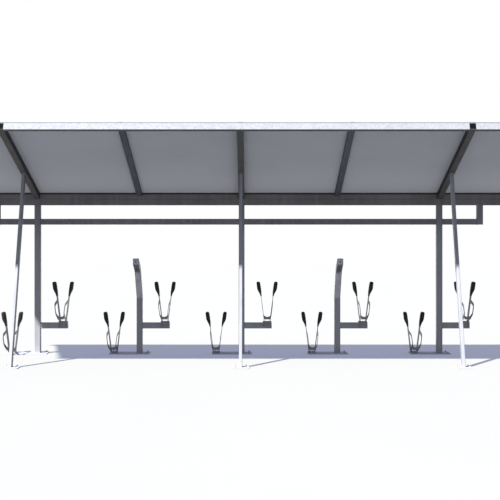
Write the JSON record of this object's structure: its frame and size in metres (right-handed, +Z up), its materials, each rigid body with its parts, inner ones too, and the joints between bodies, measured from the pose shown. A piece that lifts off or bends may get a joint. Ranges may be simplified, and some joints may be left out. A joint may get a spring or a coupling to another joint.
{
  "type": "bike shelter",
  "caption": "Open bike shelter: a lean-to roof on posts and raking props, over columns with low and high looped holders that grip a bicycle's front wheel.",
  "frame": {"origin": "on the ground under the middle of the roof's bounding box", "axes": "+X to the right along the shelter as seen from the open front, -Y to the front where bicycles come in, +Z up"},
  "size_m": [7.753, 2.235, 2.9585],
  "materials": {
    "frame": "satin powder coat",
    "panel": "satin coated sheet",
    "zinc": "galvanised, fine spangle",
    "holder": "satin powder coat",
    "grip": "matt moulded"
  },
  "bodies": {
    "root": {"roof_panels": "panel", "seam_strips": "panel", "front_edge": "zinc", "rear_edge": "frame", "head_beam": "frame", "rear_rail": "frame", "rafter_left": "frame", "rafter_middle": "frame", "rafter_right": "frame", "slim_rafter_left": "frame", "slim_rafter_right": "frame", "verge_left": "frame", "verge_right": "frame", "post_left": "frame", "post_middle": "frame", "post_right": "frame", "hanger_left": "frame", "hanger_right": "frame", "stand_left": "frame", "stand_right": "frame", "prop_left": "frame", "prop_middle": "frame", "prop_right": "frame", "prop_foot_left": "frame", "prop_foot_middle": "frame", "prop_foot_right": "frame", "base_plate_1": "frame", "base_plate_2": "frame", "base_plate_3": "frame", "base_plate_4": "frame", "base_plate_5": "frame", "arm_1": "frame", "arm_2": "frame", "arm_3": "frame", "arm_4": "frame", "arm_5": "frame", "low_holder_1": "holder", "low_holder_2": "holder", "low_holder_3": "holder", "low_holder_4": "holder", "low_holder_5": "holder", "high_holder_1": "holder", "high_holder_2": "holder", "high_holder_3": "holder", "high_holder_4": "holder", "high_holder_5": "holder", "grips_1": "grip", "grips_2": "grip", "grips_3": "grip", "grips_4": "grip", "grips_5": "grip"}
  },
  "joints": []
}
